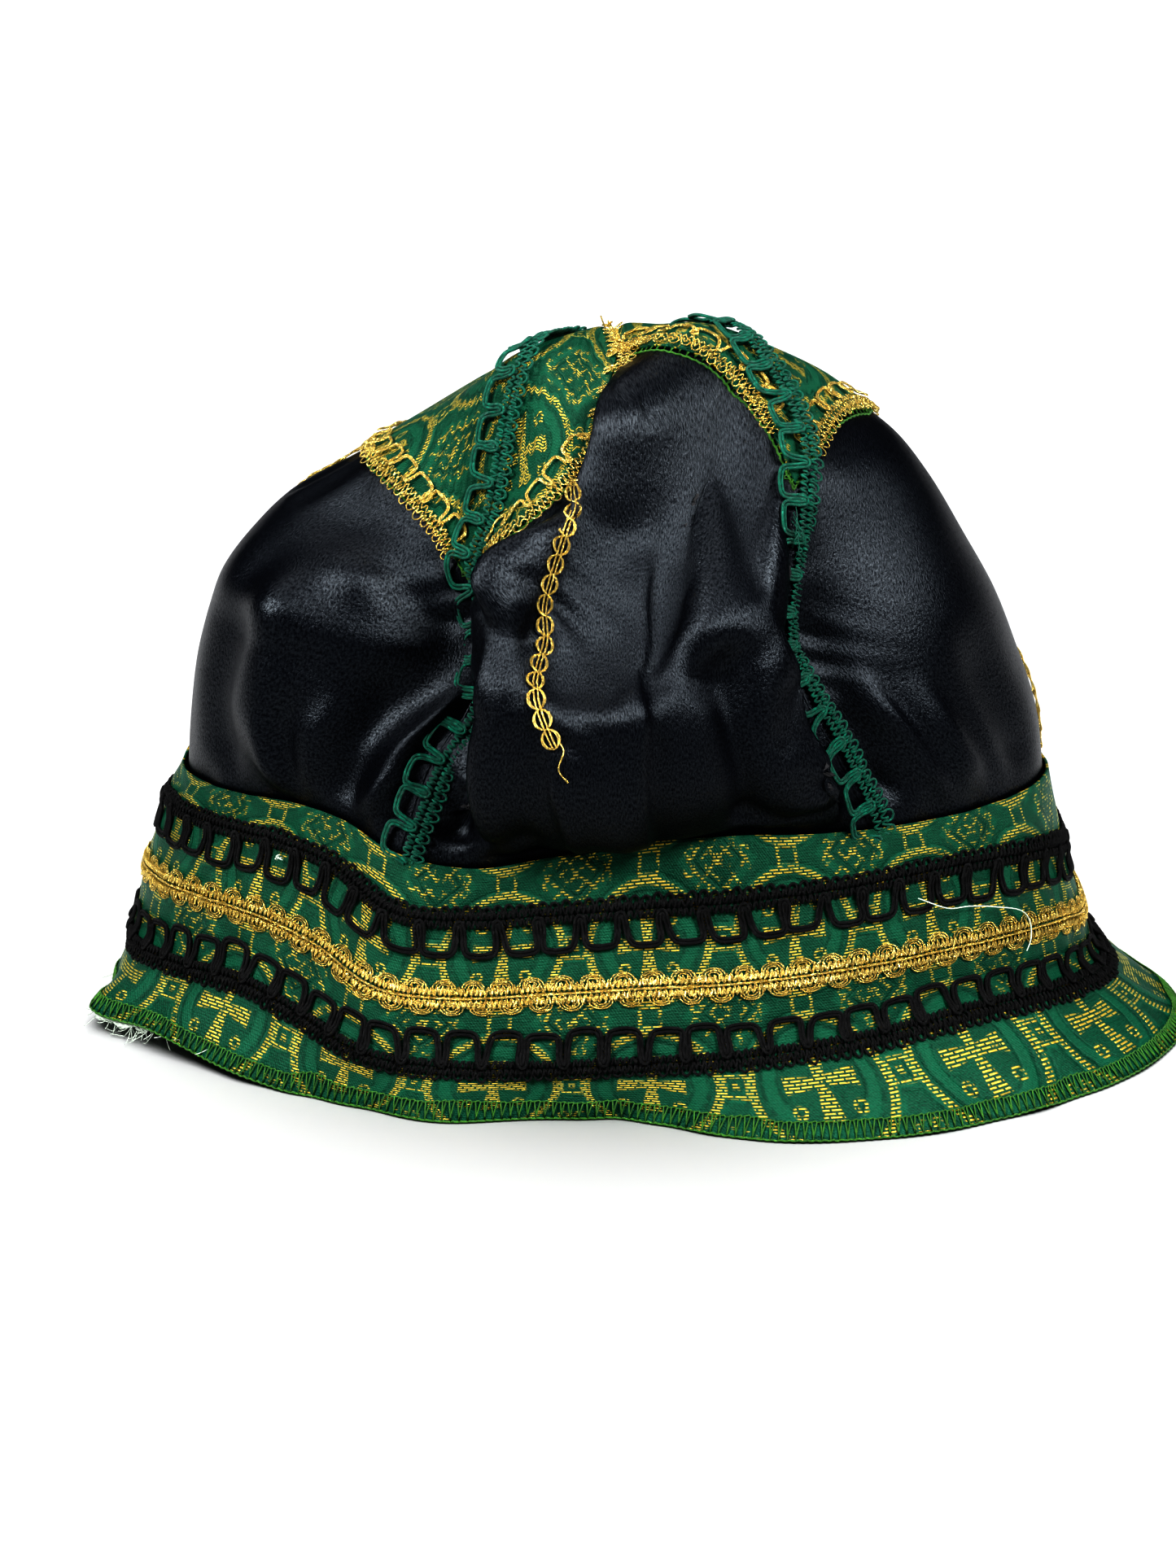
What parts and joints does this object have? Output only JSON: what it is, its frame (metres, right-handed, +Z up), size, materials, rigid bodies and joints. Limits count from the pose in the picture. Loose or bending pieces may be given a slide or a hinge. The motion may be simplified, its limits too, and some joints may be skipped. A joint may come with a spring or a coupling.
{
  "type": "costume hat",
  "caption": "Soft costume bonnet with a puffed crown of gathered satin panels, a brocade star on top and a flared brocade band trimmed with braid.",
  "frame": {"origin": "middle of the hem, on the surface the hat stands on", "axes": "+Z up towards the tip of the crown, -Y towards the front of the hat, +X towards the wearer's left, across the wide way of the band"},
  "size_m": [0.2952, 0.1912, 0.1924],
  "materials": {
    "brocade": "green satin-ground brocade with a woven gold figure",
    "satin": "black satin, soft sheen",
    "lining": "matt black lining",
    "interfacing": "white non-woven interfacing",
    "ribbon": "black ribbed ribbon",
    "black_braid": "black corded rayon braid",
    "gold_braid": "gold metallised thread braid",
    "green_braid": "emerald corded rayon braid",
    "overlock": "bright green polyester thread"
  },
  "bodies": {
    "root": {"back_satin_panel": "satin", "band_interfacing": "interfacing", "brocade_band": "brocade", "brocade_star_top": "brocade", "crown_lining": "lining", "front_satin_panel": "satin", "gold_band_braid": "gold_braid", "gold_chain_back": "gold_braid", "gold_chain_front": "gold_braid", "gold_chain_left": "gold_braid", "gold_chain_right": "gold_braid", "gold_edge_braid_back": "gold_braid", "gold_edge_braid_front": "gold_braid", "gold_edge_braid_left": "gold_braid", "gold_edge_braid_right": "gold_braid", "green_seam_braid_back_left": "green_braid", "green_seam_braid_back_right": "green_braid", "green_seam_braid_front_left": "green_braid", "green_seam_braid_front_right": "green_braid", "hem_overlock": "overlock", "left_satin_panel": "satin", "lower_black_braid": "black_braid", "right_satin_panel": "satin", "star_overlock": "overlock", "sweatband_ribbon": "ribbon", "upper_black_braid": "black_braid"}
  },
  "joints": []
}
